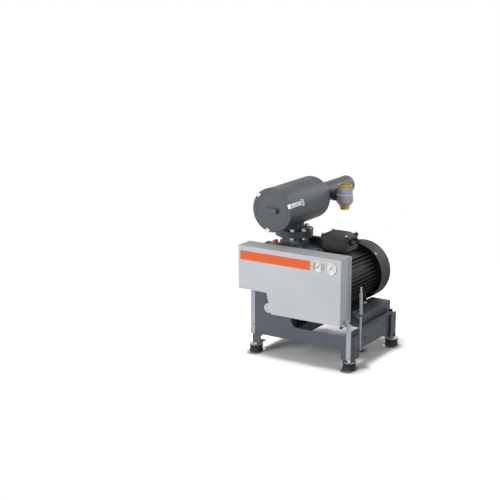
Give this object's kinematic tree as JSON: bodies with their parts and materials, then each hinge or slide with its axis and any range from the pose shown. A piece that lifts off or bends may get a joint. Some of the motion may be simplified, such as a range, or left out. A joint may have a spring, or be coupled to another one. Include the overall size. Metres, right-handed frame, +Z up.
{
  "type": "roots vacuum pump",
  "caption": "Belt-driven rotary-lobe vacuum blower package on a sheet-metal base with filter drum, relief valve, belt guard and finned motor.",
  "frame": {"origin": "on the floor at the centre of the four machine feet", "axes": "+X to the right along the belt guard, +Y to the rear along the rotor and motor shafts, +Z up"},
  "size_m": [0.743, 0.988, 0.9655],
  "materials": {
    "frame_paint": "dark grey powder coat",
    "guard_paint": "light grey powder coat",
    "drum_paint": "slate grey paint",
    "cast_paint": "dark green-grey enamel on casting",
    "machined_steel": "ground",
    "zinc": "zinc plated",
    "black_rubber": "moulded",
    "belt_rubber": "fabric-wrapped V-belt",
    "motor_black": "black paint",
    "cowl_black": "black powder-coated fan cowl",
    "orange_plastic": "moulded",
    "sight_glass": "clear",
    "brass": "turned",
    "valve_grey": "pale grey enamel",
    "filter_paper": "pleated",
    "dial_white": "white dial",
    "pointer_black": "matt",
    "core_steel": "laminated"
  },
  "bodies": {
    "base_unit": {"frame_front_panel": "frame_paint", "frame_rear_panel": "frame_paint", "frame_side_beams": "frame_paint", "blower_bench": "frame_paint", "pivot_beam": "frame_paint", "rocker_pivot_pin": "zinc", "foot_plates": "zinc", "foot_rubbers": "black_rubber", "foot_studs": "zinc", "tension_rod": "zinc", "tension_spring": "zinc", "blower_casing": "cast_paint", "drive_end_plate": "cast_paint", "gear_end_plate": "cast_paint", "drive_end_cover": "cast_paint", "gear_cover": "cast_paint", "oil_plugs": "orange_plastic", "sight_glasses": "sight_glass", "blower_bearings": "machined_steel", "shaft_seal": "black_rubber", "intake_neck": "cast_paint", "flange_bolts": "zinc", "filter_shell": "drum_paint", "filter_cover": "drum_paint", "filter_element": "filter_paper", "latch_bases": "zinc", "suction_pipe": "drum_paint", "valve_stub": "drum_paint", "valve_body": "valve_grey", "valve_brass_ends": "brass", "valve_spring": "machined_steel", "guard_cover": "guard_paint", "guard_backplate": "guard_paint", "gauge_cases": "dial_white", "gauge_lenses": "sight_glass", "drive_belts": "belt_rubber", "discharge_silencer": "drum_paint"},
    "latch_right": {"latch_clip_right": "zinc"},
    "latch_left": {"latch_clip_left": "zinc"},
    "latch_bottom": {"latch_clip_bottom": "zinc"},
    "relief_poppet": {"valve_poppet": "brass"},
    "pressure_needle": {"pressure_pointer": "pointer_black"},
    "vacuum_needle": {"vacuum_pointer": "pointer_black"},
    "drive_shaft": {"drive_rotor": "machined_steel", "drive_timing_gear": "machined_steel", "blower_pulley": "cast_paint"},
    "driven_shaft": {"driven_rotor": "machined_steel", "driven_timing_gear": "machined_steel"},
    "motor_rocker": {"rocker_plate": "frame_paint", "motor_frame": "motor_black", "motor_end_shields": "motor_black", "fan_cover": "cowl_black", "terminal_box": "motor_black", "terminal_lid": "motor_black", "cable_glands": "motor_black", "motor_bearings": "machined_steel", "motor_stator": "core_steel"},
    "motor_spindle": {"motor_rotor": "machined_steel", "motor_fan": "cowl_black", "motor_pulley": "cast_paint"}
  },
  "joints": [
    {"name": "latch_right_swing", "type": "hinge", "parent": "base_unit", "child": "latch_right", "pos_m": [-0.098, -0.098, 0.87683], "axis": [-0.2924, 0, 0.9563], "range_deg": [0, 110]},
    {"name": "latch_left_swing", "type": "hinge", "parent": "base_unit", "child": "latch_left", "pos_m": [-0.32212, -0.098, 0.92857], "axis": [-0.682, 0, -0.7314], "range_deg": [0, 110]},
    {"name": "latch_bottom_swing", "type": "hinge", "parent": "base_unit", "child": "latch_bottom", "pos_m": [-0.25487, -0.098, 0.7086], "axis": [0.9744, 0, -0.225], "range_deg": [0, 30]},
    {"name": "relief_lift", "type": "slide", "parent": "base_unit", "child": "relief_poppet", "axis": [0, 0, 1], "range_m": [0, 0.012], "stiffness_N_per_m": 900, "springref_m": -0.01, "deforming": ["valve_spring"]},
    {"name": "pressure_needle_turn", "type": "hinge", "parent": "base_unit", "child": "pressure_needle", "pos_m": [0.138, -0.331, 0.586], "axis": [0, 1, 0], "range_deg": [-180, 90], "stiffness_Nm_per_rad": 0.001},
    {"name": "vacuum_needle_turn", "type": "hinge", "parent": "base_unit", "child": "vacuum_needle", "pos_m": [0.219, -0.331, 0.585], "axis": [0, 1, 0], "range_deg": [-180, 90], "stiffness_Nm_per_rad": 0.001},
    {"name": "drive_shaft_spin", "type": "hinge", "parent": "base_unit", "child": "drive_shaft", "pos_m": [-0.275, 0, 0.511], "axis": [0, 1, 0], "continuous": true},
    {"name": "driven_shaft_spin", "type": "hinge", "parent": "base_unit", "child": "driven_shaft", "pos_m": [-0.175, 0, 0.511], "axis": [0, 1, 0], "continuous": true},
    {"name": "motor_rocker_tilt", "type": "hinge", "parent": "base_unit", "child": "motor_rocker", "pos_m": [-0.062, 0, 0.222], "axis": [0, -1, 0], "range_deg": [0, 4], "deforming": ["drive_belts", "tension_spring"]},
    {"name": "motor_spindle_spin", "type": "hinge", "parent": "motor_rocker", "child": "motor_spindle", "pos_m": [0.07, 0, 0.42], "axis": [0, 1, 0], "continuous": true}
  ],
  "couplings": [
    {"joint": "drive_shaft_spin", "follows": "motor_spindle_spin", "ratio": 1.84},
    {"joint": "driven_shaft_spin", "follows": "motor_spindle_spin", "ratio": -1.84}
  ]
}
